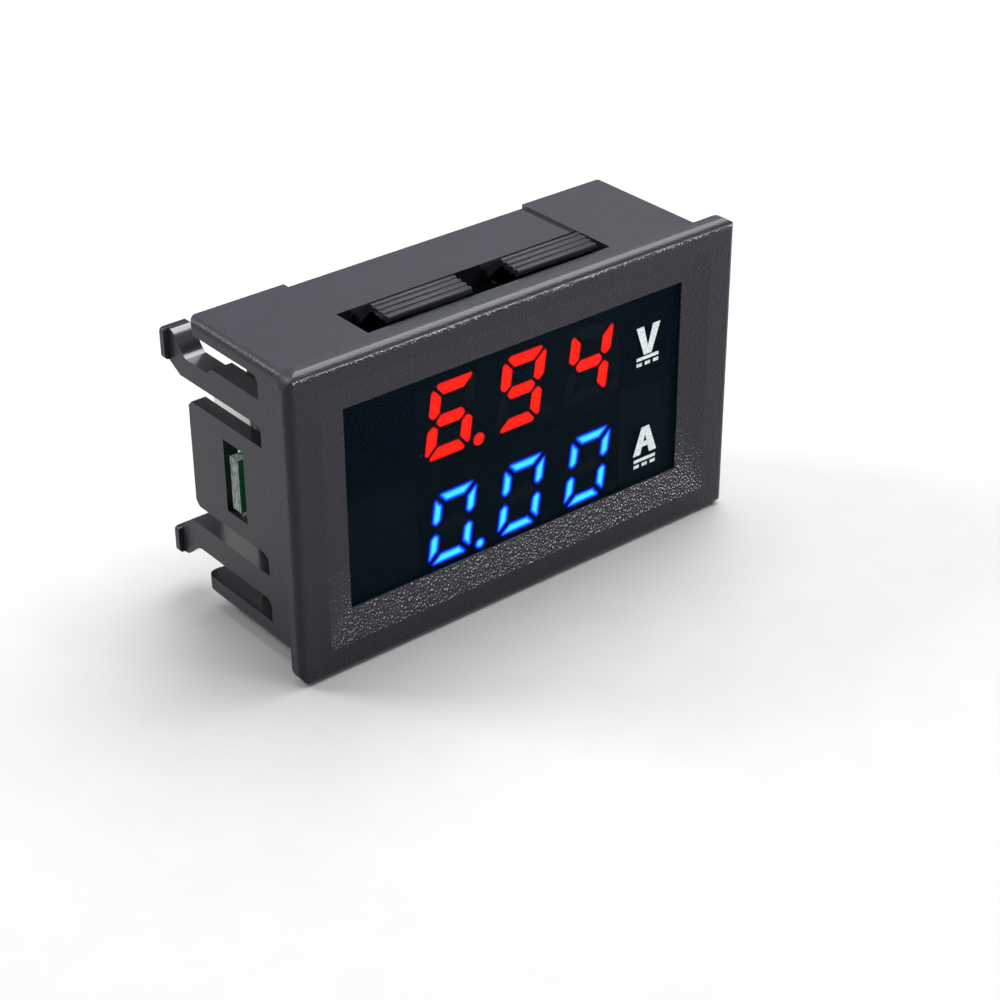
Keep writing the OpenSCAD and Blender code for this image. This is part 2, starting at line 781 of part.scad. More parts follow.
module volt_trimmer_body() trimmer_body(volt_trimmer_z);
module amp_trimmer_body() trimmer_body(amp_trimmer_z);
module volt_trimmer_rotor() trimmer_rotor(volt_trimmer_z);
module amp_trimmer_rotor() trimmer_rotor(amp_trimmer_z);

// Two feet on one side of each trimmer and one on the other
module trimmer_terminals()
    color([0.82, 0.82, 0.8])
        for (z = [volt_trimmer_z, amp_trimmer_z],
             foot = [[-1, -1.2], [-1, 1.2], [1, 0]])
            translate([trimmer_x + foot[1], board_rear + terminal_t / 2,
                       z + foot[0] * (trimmer_w + terminal_l) / 2])
                cube([terminal_w, terminal_t, terminal_l], center = true);

// ---------- shunt ----------

// Bare round link bent into a staple
module shunt_link() {
    bridge_y = board_rear + shunt_h;
    color([0.72, 0.55, 0.38]) {
        for (x = shunt_places)
            translate([x, board_front - tail, shunt_z]) rotate([-90, 0, 0])
                cylinder(d = shunt_d, h = board_t + tail + shunt_h - shunt_bend_r);
        for (side = [-1, 1])
            translate([shunt_x + side * (shunt_span / 2 - shunt_bend_r),
                       bridge_y - shunt_bend_r, shunt_z])
                rotate([0, 0, side > 0 ? 0 : 90])
                    rotate_extrude(angle = 90) translate([shunt_bend_r, 0]) circle(d = shunt_d);
        translate([shunt_x - shunt_span / 2 + shunt_bend_r, bridge_y, shunt_z]) rotate([0, 90, 0])
            cylinder(d = shunt_d, h = shunt_span - 2 * shunt_bend_r);
    }
}

// ---------- chips ----------

// Moulded chip body with slightly raked ends, long side across
module chip_body(x, z, size)
    translate([x - size[0] / 2, 0, 0])
        rotate([90, 0, 90]) linear_extrude(size[0])
            polygon([[board_rear + stand_off, z - size[1] / 2 + chip_rake],
                [board_rear + size[2] / 2, z - size[1] / 2],
                [board_rear + size[2], z - size[1] / 2 + chip_rake],
                [board_rear + size[2], z + size[1] / 2 - chip_rake],
                [board_rear + size[2] / 2, z + size[1] / 2],
                [board_rear + stand_off, z + size[1] / 2 - chip_rake]]);

// Gull-wing leads along both long sides of a chip
module chip_leads(x, z, size)
    for (side = [-1, 1], k = [0 : size[3] - 1])
        translate([x + (k - (size[3] - 1) / 2) * size[4] - lead_w / 2, 0, 0])
            rotate([90, 0, 90]) linear_extrude(lead_w)
                polygon([for (p = [[size[2] / 2 + lead_t / 2, 0],
                    [size[2] / 2 + lead_t / 2, lead_knee], [lead_t, lead_foot],
                    [lead_t, lead_l], [0, lead_l], [0, lead_foot - lead_t],
                    [size[2] / 2 - lead_t / 2, lead_knee - lead_t / 2],
                    [size[2] / 2 - lead_t / 2, 0]])
                    [board_rear + p[0], z + side * (size[1] / 2 + p[1])]]);

module controller_chip() color([0.07, 0.07, 0.08]) chip_body(controller_x, volt_z, controller);
module controller_leads() color([0.8, 0.8, 0.78]) chip_leads(controller_x, volt_z, controller);
module amplifier_chip() color([0.07, 0.07, 0.08]) chip_body(amplifier_x, amp_z, amplifier);
module amplifier_leads() color([0.8, 0.8, 0.78]) chip_leads(amplifier_x, amp_z, amplifier);

module regulator_chip()
    color([0.07, 0.07, 0.08])
        chip_body(regulator_x, amp_z, [regulator_w, regulator_l, regulator_h]);

// Three short legs below the regulator and its wide cooling tab above
module regulator_leads()
    color([0.8, 0.8, 0.78]) {
        for (k = [-1 : 1])
            block([regulator_x + k * regulator_pitch - regulator_lead_w / 2, board_rear,
                   amp_z - regulator_l / 2 - regulator_lead_l],
                [regulator_x + k * regulator_pitch + regulator_lead_w / 2,
                 board_rear + regulator_lead_t, amp_z - regulator_l / 2]);
        block([regulator_x - regulator_tab_w / 2, board_rear, amp_z + regulator_l / 2],
            [regulator_x + regulator_tab_w / 2, board_rear + regulator_lead_t,
             amp_z + regulator_l / 2 + regulator_tab_l]);
    }

module diode_body()
    color([0.08, 0.08, 0.09]) rotate([0, -90, 0])
        chip_body(diode_z, -diode_x, [diode_l, diode_w, diode_h]);

module diode_leads()
    color([0.8, 0.8, 0.78])
        for (side = [-1, 1])
            block([diode_x - diode_lead_w / 2, board_rear,
                   diode_z + side * (diode_l + diode_lead_l) / 2 - diode_lead_l / 2],
                [diode_x + diode_lead_w / 2, board_rear + diode_lead_t,
                 diode_z + side * (diode_l + diode_lead_l) / 2 + diode_lead_l / 2]);

// Middle of a small chip, between its two end caps
module chip_middle(x, z, size)
    translate([x, board_rear + size[2] / 2, z])
        cube([size[0] - 2 * cap_l, size[2], size[1]], center = true);

module chip_resistors()
    color([0.1, 0.1, 0.11])
        for (z = RESISTOR_Z) chip_middle(resistor_x, z, small_chip);

module chip_capacitors()
    color([0.62, 0.5, 0.36])
        for (z = CAPACITOR_Z) chip_middle(capacitor_x, z, large_chip);

module end_caps(x, z, size)
    for (side = [-1, 1])
        translate([x + side * (size[0] - cap_l) / 2, board_rear + size[2] / 2, z])
            cube([cap_l, size[2], size[1]], center = true);

module chip_end_caps()
    color([0.8, 0.8, 0.79]) {
        for (z = RESISTOR_Z) end_caps(resistor_x, z, small_chip);
        for (z = CAPACITOR_Z) end_caps(capacitor_x, z, large_chip);
    }

// ---------- solder ----------

// Cone of solder round a round pin, growing rearwards from y
module solder_cone(x, y, z, hole_d, wide)
    translate([x, y, z]) rotate([-90, 0, 0]) difference() {
        cylinder(r1 = solder_r * wide, r2 = solder_tip_r * wide, h = solder_h);
        translate([0, 0, -1]) cylinder(d = hole_d, h = solder_h + 2);
    }

// The display pins are soldered behind the board, the shunt in front of it
module solder_joints()
    color([0.78, 0.79, 0.8]) {
        for (z = [volt_z, amp_z], place = display_pin_places())
            solder_cone(place[0], board_rear, z + place[1], pin_d, 1);
        for (x = shunt_places)
            translate([x, board_front, shunt_z]) mirror([0, 1, 0])
                solder_cone(0, 0, 0, shunt_d, 2.2);
    }

housing();
window_lens();
circuit_board();
volt_display_shell();
volt_display_lit_segments();
volt_display_dark_segments();
volt_display_pins();
amp_display_shell();
amp_display_lit_segments();
amp_display_dark_segments();
amp_display_pins();
current_header();
current_header_pins();
power_header();
power_header_pins();
volt_trimmer_body();
volt_trimmer_rotor();
amp_trimmer_body();
amp_trimmer_rotor();
trimmer_terminals();
shunt_link();
controller_chip();
controller_leads();
amplifier_chip();
amplifier_leads();
regulator_chip();
regulator_leads();
diode_body();
diode_leads();
chip_resistors();
chip_capacitors();
chip_end_caps();
solder_joints();
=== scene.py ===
# %% [markdown]
# # A digital panel meter
# The meter is a dark moulded housing that snaps into a panel from the front. It holds a smoked
# window, two three-digit displays and a circuit board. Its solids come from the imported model, in
# metres, and this lesson dresses them: it rounds the moulded edges, lights the digits, prints the
# marks and finishes every surface. It starts by loading the solids, which never move.

# %% Load the solids
import json
import math

import bmesh
import bpy
from mathutils import Matrix, Quaternion, Vector

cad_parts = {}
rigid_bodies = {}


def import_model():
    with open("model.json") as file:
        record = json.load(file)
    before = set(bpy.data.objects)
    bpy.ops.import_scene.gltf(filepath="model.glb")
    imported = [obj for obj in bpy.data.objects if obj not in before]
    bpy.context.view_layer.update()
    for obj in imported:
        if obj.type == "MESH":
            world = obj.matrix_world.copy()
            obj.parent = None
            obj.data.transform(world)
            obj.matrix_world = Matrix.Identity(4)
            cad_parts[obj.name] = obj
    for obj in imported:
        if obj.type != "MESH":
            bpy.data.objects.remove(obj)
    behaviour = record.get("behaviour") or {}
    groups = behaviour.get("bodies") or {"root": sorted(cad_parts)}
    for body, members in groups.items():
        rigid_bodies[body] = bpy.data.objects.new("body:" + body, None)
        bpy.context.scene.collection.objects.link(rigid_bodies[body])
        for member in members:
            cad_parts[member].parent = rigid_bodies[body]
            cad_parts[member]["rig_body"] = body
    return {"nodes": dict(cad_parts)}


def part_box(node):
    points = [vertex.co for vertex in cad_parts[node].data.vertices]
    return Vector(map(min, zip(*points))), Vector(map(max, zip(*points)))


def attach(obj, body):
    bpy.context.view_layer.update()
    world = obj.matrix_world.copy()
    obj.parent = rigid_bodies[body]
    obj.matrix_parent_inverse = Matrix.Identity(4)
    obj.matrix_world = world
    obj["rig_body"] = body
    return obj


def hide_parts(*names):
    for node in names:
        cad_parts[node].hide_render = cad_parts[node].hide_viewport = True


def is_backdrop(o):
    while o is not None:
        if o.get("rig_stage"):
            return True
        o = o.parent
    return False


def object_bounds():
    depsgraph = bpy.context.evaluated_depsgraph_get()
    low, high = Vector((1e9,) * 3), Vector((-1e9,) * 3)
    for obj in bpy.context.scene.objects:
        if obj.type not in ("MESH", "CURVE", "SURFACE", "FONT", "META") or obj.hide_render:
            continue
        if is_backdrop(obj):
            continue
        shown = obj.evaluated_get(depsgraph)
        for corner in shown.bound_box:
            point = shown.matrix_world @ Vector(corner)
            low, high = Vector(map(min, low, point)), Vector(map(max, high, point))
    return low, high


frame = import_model()
cad_low, cad_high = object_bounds()
MM = 0.001
METER = "meter"
print("solids:", len(frame["nodes"]), "box in mm:", [round(v / MM, 2) for v in cad_high - cad_low])

# %% [markdown]
# ## Camera
# A product camera with a longish lens keeps the front nearly free of distortion. It stands to the
# left of the meter and looks down on it, so that the window, the top and the left side all show.
# A camera looks along its own -Z, so to_track_quat turns it towards the point it aims at.

# %% The camera
LOOK_RIGHT = math.radians(39.19)
LOOK_DOWN = math.radians(30.70)
CAMERA_ROLL = math.radians(-0.27)
DISTANCE = 197.6 * MM
AIM = Vector((-2.74, -1.28, -4.34)) * MM
forward = Vector((math.sin(LOOK_RIGHT) * math.cos(LOOK_DOWN),
                  math.cos(LOOK_RIGHT) * math.cos(LOOK_DOWN), -math.sin(LOOK_DOWN)))
camera_data = bpy.data.cameras.new("product_camera")
camera_data.sensor_width = 36
camera_data.lens = 83.2
camera_data.clip_start = 0.01
camera = bpy.data.objects.new("product_camera", camera_data)
camera.location = AIM - forward * DISTANCE
camera.rotation_mode = "QUATERNION"
camera.rotation_quaternion = forward.to_track_quat("-Z", "Y") @ Quaternion((0, 0, 1), CAMERA_ROLL)
bpy.context.scene.collection.objects.link(camera)
bpy.context.scene.camera = camera
print("camera at", [round(v / MM, 1) for v in camera.location], "mm")

# %% [markdown]
# ## Studio
# The light is that of a small product tent. The main lamp hangs above and to the right. A small
# low card in front to the right is mirrored by the lower slope of the frame, so the grain there
# sparkles. A small lamp behind to the left puts a glint on the upper hook and on the upper edge of
# the left side. The standard view transform keeps the pure red and blue of the digits.

# %% Floor, surround and lamps
FLOOR_HALF = 2.0
floor_shape = bmesh.new()
bmesh.ops.create_grid(floor_shape, x_segments=1, y_segments=1, size=FLOOR_HALF)
bmesh.ops.translate(floor_shape, verts=floor_shape.verts, vec=(0, 0, cad_low.z))
floor_mesh = bpy.data.meshes.new("floor")
floor_shape.to_mesh(floor_mesh)
floor_shape.free()
floor = bpy.data.objects.new("floor", floor_mesh)
bpy.context.scene.collection.objects.link(floor)
floor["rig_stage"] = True

bpy.context.scene.view_settings.view_transform = "Standard"
world = bpy.data.worlds.new("pale_surround")
world.use_nodes = True
world.node_tree.nodes["Background"].inputs["Color"].default_value = (0.93, 0.96, 1, 1)
world.node_tree.nodes["Background"].inputs["Strength"].default_value = 0.15
bpy.context.scene.world = world


def soft_lamp(name, size, power, place):
    """A square soft lamp that looks at the origin."""
    lamp = bpy.data.lights.new(name, "AREA")
    lamp.size = size
    lamp.energy = power
    stand = bpy.data.objects.new(name, lamp)
    stand.location = place
    stand.rotation_euler = (-Vector(place)).to_track_quat("-Z", "Y").to_euler()
    bpy.context.scene.collection.objects.link(stand)


soft_lamp("top_lamp", 0.6, 7.9, (0.2, 0.06, 0.52))
soft_lamp("back_left_lamp", 0.18, 1.9, (-0.29, 0.36, 0.33))
soft_lamp("front_card", 0.16, 4.2, (0.36, -0.58, 0.04))

# %% [markdown]
# ## Finishes
# Each finish is a node material. Its even values sit on the shader itself, and what varies comes
# from noise read on Object coordinates, so a pattern keeps its real size and stays where it is.
# These helpers add one kind of variation each: a pattern, a colour that drifts, a roughness that
# drifts, and a surface that is not flat.

# %% Helpers for finishes
def finish(name, colour, roughness, **sockets):
    """A material with even values on its shader."""
    made = bpy.data.materials.new(name)
    made.use_nodes = True
    shader = made.node_tree.nodes["Principled BSDF"]
    shader.inputs["Base Color"].default_value = (*colour, 1)
    shader.inputs["Roughness"].default_value = roughness
    for socket, value in sockets.items():
        shader.inputs[socket.replace("_", " ")].default_value = value
    return made


def shader_of(made):
    return made.node_tree.nodes["Principled BSDF"]


def pattern(made, size, kind="Noise", stretch=(1, 1, 1), detail=3.0):
    """Noise or cells of a real size in metres, read on Object coordinates."""
    tree = made.node_tree
    place = tree.nodes.new("ShaderNodeTexCoord")
    scale = tree.nodes.new("ShaderNodeMapping")
    scale.inputs["Scale"].default_value = [v / size for v in stretch]
    grain = tree.nodes.new("ShaderNodeTex" + kind)
    grain.inputs["Scale"].default_value = 1
    if kind == "Noise":
        grain.inputs["Detail"].default_value = detail
    tree.links.new(place.outputs["Object"], scale.inputs["Vector"])
    tree.links.new(scale.outputs["Vector"], grain.inputs["Vector"])
    return grain.outputs["Distance" if kind == "Voronoi" else 0]


def ramp(made, source, stops):
    """A colour ramp with (position, colour) stops."""
    bands = made.node_tree.nodes.new("ShaderNodeValToRGB")
    elements = bands.color_ramp.elements
    while len(elements) < len(stops):
        elements.new(0.5)
    for element, (position, colour) in zip(elements, stops):
        element.position = position
        element.color = (*colour, 1)
    made.node_tree.links.new(source, bands.inputs["Fac"])
    return bands.outputs["Color"]


def drift_colour(made, source, dark, light, low=0.35, high=0.65):
    """The colour drifts between two near shades."""
    colour = ramp(made, source, [(low, dark), (high, light)])
    made.node_tree.links.new(colour, shader_of(made).inputs["Base Color"])


def drift_roughness(made, source, low, high):
    """The roughness drifts between two values."""
    span = made.node_tree.nodes.new("ShaderNodeMapRange")
    span.inputs["To Min"].default_value = low
    span.inputs["To Max"].default_value = high
    made.node_tree.links.new(source, span.inputs["Value"])
    made.node_tree.links.new(span.outputs["Result"], shader_of(made).inputs["Roughness"])


def relief(made, source, depth, strength=1.0, under=None):
    """The pattern stands up by a depth in metres, over another relief if there is one."""
    bump = made.node_tree.nodes.new("ShaderNodeBump")
    bump.inputs["Distance"].default_value = depth
    bump.inputs["Strength"].default_value = strength
    made.node_tree.links.new(source, bump.inputs["Height"])
    if under is not None:
        made.node_tree.links.new(under, bump.inputs["Normal"])
    made.node_tree.links.new(bump.outputs["Normal"], shader_of(made).inputs["Normal"])
    return bump.outputs["Normal"]


paper = finish("pale_floor", (0.46, 0.46, 0.46), 0.9)
drift_colour(paper, pattern(paper, 0.004), (0.455, 0.455, 0.455), (0.465, 0.465, 0.465))
floor.data.materials.append(paper)
print("floor finish:", paper.name)

# %% [markdown]
# ## Pieces from solids
# A solid from the CAD has razor edges, and a real moulding never does. A copy of its mesh is
# merged, its flat faces are made whole again, and every sharp edge gets a small round. The copy
# then stands for the solid. Weighted normals keep the big flat faces flat beside the rounds.

# %% Helpers for pieces
SHARP = math.radians(28)


def merged_copy(node):
    """A closed copy of a solid's mesh, with whole flat faces."""
    shape = bmesh.new()
    shape.from_mesh(frame["nodes"][node].data)
    bmesh.ops.remove_doubles(shape, verts=shape.verts, dist=1e-7)
    bmesh.ops.dissolve_limit(shape, angle_limit=math.radians(0.5), verts=shape.verts,
                             edges=shape.edges)
    return shape


def round_edges(shape, width, segments=2, chosen=None):
    """Rounds the sharp edges, or those of them that a test picks."""
    edges = [e for e in shape.edges if e.is_manifold and e.calc_face_angle() > SHARP]
    if chosen is not None:
        edges = [e for e in shape.edges if e.is_manifold and chosen(e)]
    bmesh.ops.bevel(shape, geom=edges, offset=width, offset_type="OFFSET", segments=segments,
                    profile=0.5, affect="EDGES", clamp_overlap=True, material=-1)


def add_piece(shape, name, finishes, body=METER, stands_for=(), smooth=40):
    """Writes a bmesh to an object at the origin that rides on a body."""
    mesh = bpy.data.meshes.new(name)
    shape.to_mesh(mesh)
    shape.free()
    mesh.shade_smooth()
    mesh.set_sharp_from_angle(angle=math.radians(smooth))
    piece = bpy.data.objects.new(name, mesh)
    bpy.context.scene.collection.objects.link(piece)
    for made in finishes:
        mesh.materials.append(made)
    weighted = piece.modifiers.new("even_normals", "WEIGHTED_NORMAL")
    weighted.keep_sharp = True
    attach(piece, body)
    if stands_for:
        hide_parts(*stands_for)
    print(name, len(mesh.polygons), "faces")
    return piece


def dress(node, made):
    """Gives a CAD node a finish."""
    mesh = frame["nodes"][node].data
    mesh.materials.clear()
    mesh.materials.append(made)
    print(node, "has", made.name)


def soft_copy(node, made, width):
    """A rounded copy of a solid stands for it."""
    shape = merged_copy(node)
    round_edges(shape, width)
    body = frame["nodes"][node]["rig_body"]
    add_piece(shape, node + "_finished", [made], body, [node])


# %% [markdown]
# ## Housing
# The housing is one moulding in dark ABS. Its tool was etched, and not everywhere alike: the front
# of the frame has a bold leather grain, the rounded top edge, the ribbed pads and the body a finer
# one. The slots, the arms and the inside come from polished steel, so they are smooth and shinier.
# The front of the frame also gets a far darker colour than the body. That is painted shade for the
# dimmer light on the front. The slots, the arms and the inside get a darker colour as well, which
# is painted shade in those recesses.
# All the finishes sit on one piece, and each face takes the one that belongs to its place. The
# borders of the frame's slopes are nearly flat, so they get a narrow bevel of their own, which
# keeps the shading of each slope apart.

# %% Housing finishes
def grained(name, colour, gloss, roughness, cell, depth):
    """Etched ABS with a leather grain of one cell size and depth."""
    made = finish(name, colour, roughness, Specular_IOR_Level=gloss)
    drift_colour(made, pattern(made, 3 * MM), [0.97 * c for c in colour],
                 [1.03 * c for c in colour])
    cells = relief(made, pattern(made, cell, "Voronoi"), depth)
    relief(made, pattern(made, cell * 0.4), depth * 0.2, under=cells)
    return made


skin = grained("fine_grain_abs", (0.040, 0.040, 0.048), 0.12, 0.28, 0.20 * MM, 0.020 * MM)
# Painted shade: the front of the frame gets a colour far darker than the body's, for the dimmer
# light on it.
front_leather_painted_shade = grained("leather_grain_painted_shade_abs", (0.011, 0.011, 0.017), 0.26, 0.20, 0.24 * MM, 0.036 * MM)
edge_grain = grained("edge_grain_abs", (0.028, 0.028, 0.034), 0.30, 0.22, 0.14 * MM, 0.012 * MM)
pad_grain = grained("pad_grain_abs", (0.027, 0.027, 0.034), 0.12, 0.28, 0.16 * MM, 0.016 * MM)
# Painted shade: the slots, arms and inside get a colour half as bright as the body's, for the shade
# in them. Their smoothness and shine are real.
smooth_abs_painted_shade = finish("smooth_abs_painted_shade", (0.020, 0.020, 0.026), 0.18, Specular_IOR_Level=0.9)
drift_colour(smooth_abs_painted_shade, pattern(smooth_abs_painted_shade, 2 * MM), (0.018, 0.018, 0.024),
             (0.022, 0.022, 0.029))
drift_roughness(smooth_abs_painted_shade, pattern(smooth_abs_painted_shade, 2 * MM), 0.16, 0.21)

# %% Housing piece
BODY_HALF_W = 22.65 * MM
BODY_HALF_H = 13.3 * MM
CLIP_HALF_W = 13 * MM
CLIP_Y = (2.8 * MM, 7.9 * MM)
FLUSH = 0.5 * MM


def housing_finish(face):
    """The place of a face's finish in the piece's list."""
    place = face.calc_center_median()
    way = face.normal
    # The front faces of the frame take the finish with painted shade, and the rounded top edge
    # takes its own.
    if place.y < FLUSH / 5:
        if way.y > -0.15:
            return 0
        return 3 if way.z > 0.35 and way.y > -0.92 else 1
    in_clip = CLIP_Y[0] < place.y < CLIP_Y[1] and abs(place.x) < CLIP_HALF_W
    if in_clip:
        rib = abs(place.z) > BODY_HALF_H - 1.5 * MM and way.z * place.z > 0
        return 4 if rib else 2
    side = abs(place.x) > BODY_HALF_W - FLUSH and abs(way.x) > 0.5
    flat = abs(place.z) > BODY_HALF_H - 2 * FLUSH and abs(way.z) > 0.5
    # Every face that is not on the outside takes the smooth finish with painted shade.
    return 0 if side or flat else 2


SLOPE_BREAK = (math.radians(12), math.radians(22))
SLOPE_LENGTH = 12 * MM


def on_slope(edge):
    """True along the long borders of the frame's four slopes."""
    return (SLOPE_BREAK[0] < edge.calc_face_angle() < SLOPE_BREAK[1]
            and edge.calc_length() > SLOPE_LENGTH)


housing = merged_copy("housing")
print("slope borders:", sum(on_slope(e) for e in housing.edges if e.is_manifold))
round_edges(housing, 0.08 * MM, chosen=on_slope)
round_edges(housing, 0.12 * MM)
for face in housing.faces:
    face.material_index = housing_finish(face)
add_piece(housing, "housing_finished", [skin, front_leather_painted_shade, smooth_abs_painted_shade, edge_grain, pad_grain], METER,
          ["housing"])

# %% [markdown]
# ## Window
# The window is a smoked sheet: it hides the displays until they light. A mask is printed round the
# displays on its back. Light passes the front and the back of the sheet, so each of them lets
# through a bit less than half, and about a fifth is left. Its gloss is low, like that of an
# anti-glare sheet. The mask is a thin plate with an opening, cut from a grid with bisecting planes.

# %% Window finish and mask
smoke = finish("smoked_window", (0.0005, 0.0045, 0.0090), 0.3, Specular_IOR_Level=0.02, Alpha=0.55)
drift_colour(smoke, pattern(smoke, 8 * MM), (0.0004, 0.0042, 0.0086), (0.0006, 0.0048, 0.0094))
dress("window_lens", smoke)
window_low, window_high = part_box("window_lens")
volt_low, volt_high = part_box("volt_display_shell")
amp_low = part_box("amp_display_shell")[0]
INK = 0.02 * MM
LAP = 0.3 * MM


def thicken(shape, by):
    """Gives flat faces a thickness along Y and closes them."""
    raised = bmesh.ops.extrude_face_region(shape, geom=shape.faces[:])
    moved = [v for v in raised["geom"] if isinstance(v, bmesh.types.BMVert)]
    bmesh.ops.translate(shape, verts=moved, vec=(0, by, 0))
    bmesh.ops.recalc_face_normals(shape, faces=shape.faces)


def flat_sheet(shape, low, high, y):
    """A rectangle across and up, at one depth."""
    made = bmesh.ops.create_grid(shape, x_segments=1, y_segments=1, size=0.5)
    size = (high[0] - low[0], 1, high[1] - low[1])
    middle = ((low[0] + high[0]) / 2, y, (low[1] + high[1]) / 2)
    stand = Matrix.Translation(middle) @ Matrix.Diagonal((*size, 1)) @ Matrix.Rotation(
        math.radians(90), 4, "X")
    bmesh.ops.transform(shape, matrix=stand, verts=made["verts"])
    return made["verts"]


def frame_sheet(shape, low, high, inner_low, inner_high, y):
    """A flat frame: a rectangle cut along four lines, without its middle."""
    verts = flat_sheet(shape, low, high, y)
    faces = list({f for v in verts for f in v.link_faces})
    for axis, places in ((0, (inner_low[0], inner_high[0])), (2, (inner_low[1], inner_high[1]))):
        for place in places:
            point = [0, 0, 0]
            normal = [0, 0, 0]
            point[axis] = place
            normal[axis] = 1
            geom = faces + list({e for f in faces for e in f.edges}) + list(
                {v for f in faces for v in f.verts})
            cut = bmesh.ops.bisect_plane(shape, geom=geom, plane_co=point, plane_no=normal)
            faces = [g for g in cut["geom"] if isinstance(g, bmesh.types.BMFace)]
    middle = [f for f in faces if inner_low[0] < f.calc_center_median().x < inner_high[0]
              and inner_low[1] < f.calc_center_median().z < inner_high[1]]
    bmesh.ops.delete(shape, geom=middle, context="FACES")


mask_ink = finish("mask_ink", (0.002, 0.004, 0.005), 0.5, Specular_IOR_Level=0.1)
drift_colour(mask_ink, pattern(mask_ink, 0.8 * MM), (0.0015, 0.0034, 0.0042),
             (0.0025, 0.0046, 0.0058))
mask = bmesh.new()
frame_sheet(mask, (window_low.x, window_low.z), (window_high.x, window_high.z),
            (volt_low.x + LAP, amp_low.z + LAP), (volt_high.x - LAP, volt_high.z - LAP),
            window_high.y)
thicken(mask, INK)
add_piece(mask, "window_mask", [mask_ink])

# %% [markdown]
# ## Printed marks
# Beside the digits the window carries a V and an A, each over the usual sign for direct current:
# a bar over three dashes. The letters are flat outlines, given a hair of thickness like real ink.
# The faces of a letter meet along their edges, so no two lie over each other.

# %% Marks
MARK_X = 14.6 * MM
LETTER_W = 2.8 * MM
STROKE = 0.86 * MM
BAR_T = 0.32 * MM
CROTCH = 0.72
TIP_HALF = 0.52 * STROKE
CROSSBAR_T = 0.6 * STROKE
SIGN_HALF = 0.46 * LETTER_W
SIGN_GAP = 0.75 * BAR_T
DASH_HALF = 0.11 * LETTER_W
DASH_PITCH = 0.35 * LETTER_W


def flat_face(shape, outline):
    """A face on the window's front, from points across and up."""
    y = window_low.y
    return shape.faces.new([shape.verts.new((x, y, z)) for x, z in outline])


def letter(shape, x, foot, tip, bar=None):
    """A V, or an A where it has a bar: two legs from the wide end to the middle at the tip."""
    half = LETTER_W / 2
    inner = half - STROKE
    crotch = foot + (tip - foot) * CROTCH
    for side in (-1, 1):
        flat_face(shape, [(x + side * half, foot), (x + side * inner, foot), (x, crotch), (x, tip),
                          (x + side * TIP_HALF, tip)])
    if bar is not None:
        ends = [inner * (crotch - z) / (crotch - foot) for z in (bar, bar - CROSSBAR_T)]
        flat_face(shape, [(x - ends[0], bar), (x + ends[0], bar),
                          (x + ends[1], bar - CROSSBAR_T), (x - ends[1], bar - CROSSBAR_T)])


def current_sign(shape, x, top):
    """The sign for direct current: a bar over three dashes."""
    low = top - BAR_T
    flat_face(shape, [(x - SIGN_HALF, top), (x + SIGN_HALF, top), (x + SIGN_HALF, low),
                      (x - SIGN_HALF, low)])
    top = low - SIGN_GAP
    low = top - BAR_T
    for k in (-1, 0, 1):
        middle = x + k * DASH_PITCH
        flat_face(shape, [(middle - DASH_HALF, top), (middle + DASH_HALF, top),
                          (middle + DASH_HALF, low), (middle - DASH_HALF, low)])


ink = finish("pale_ink", (0.55, 0.60, 0.60), 0.6)
drift_colour(ink, pattern(ink, 0.15 * MM), (0.42, 0.47, 0.47), (0.66, 0.70, 0.70))


def print_mark(name, foot, tip, sign_top, bar=None):
    """A letter with the current sign under it, as thin ink on the window."""
    shape = bmesh.new()
    letter(shape, MARK_X, foot, tip, bar)
    current_sign(shape, MARK_X, sign_top)
    thicken(shape, -INK)
    add_piece(shape, name, [ink])


print_mark("volt_mark", 6.6 * MM, 3.8 * MM, 3.65 * MM)
print_mark("amp_mark", -6.25 * MM, -3.5 * MM, -6.65 * MM, bar=-5.0 * MM)

# %% [markdown]
# ## Lit digits
# Each bar of a digit is a little block of cloudy resin over a light-emitting chip, brightest
# along its middle, and some light bleeds into the black resin round it. Each lit bar gets a thin
# cap that reaches a little past it, with its sharp tips rounded. Its front is inset in three rings,
# and an attribute that grows inwards drives the glow, from a dark rim to a pale core.

# %% Lit bars
CAP = 0.014 * MM
BLEED = 0.12 * MM
TIP_ROUND = 0.38 * MM
TIP_ANGLE = math.radians(100)
EDGE_LEVEL = 0.5
RINGS = [(0.12 * MM, 0.65), (0.14 * MM, 0.85), (0.14 * MM, 1.0)]
SHORT = 0.07 * MM
ROUND_OUTLINE = 30


def glowing(name, strength, stops):
    """A finish that glows by the level of the core attribute."""
    made = finish(name, (0.01, 0.01, 0.012), 0.5)
    level = made.node_tree.nodes.new("ShaderNodeAttribute")
    level.attribute_name = "core"
    colour = ramp(made, level.outputs["Fac"], stops)
    made.node_tree.links.new(colour, shader_of(made).inputs["Emission Color"])
    shader_of(made).inputs["Emission Strength"].default_value = strength
    return made


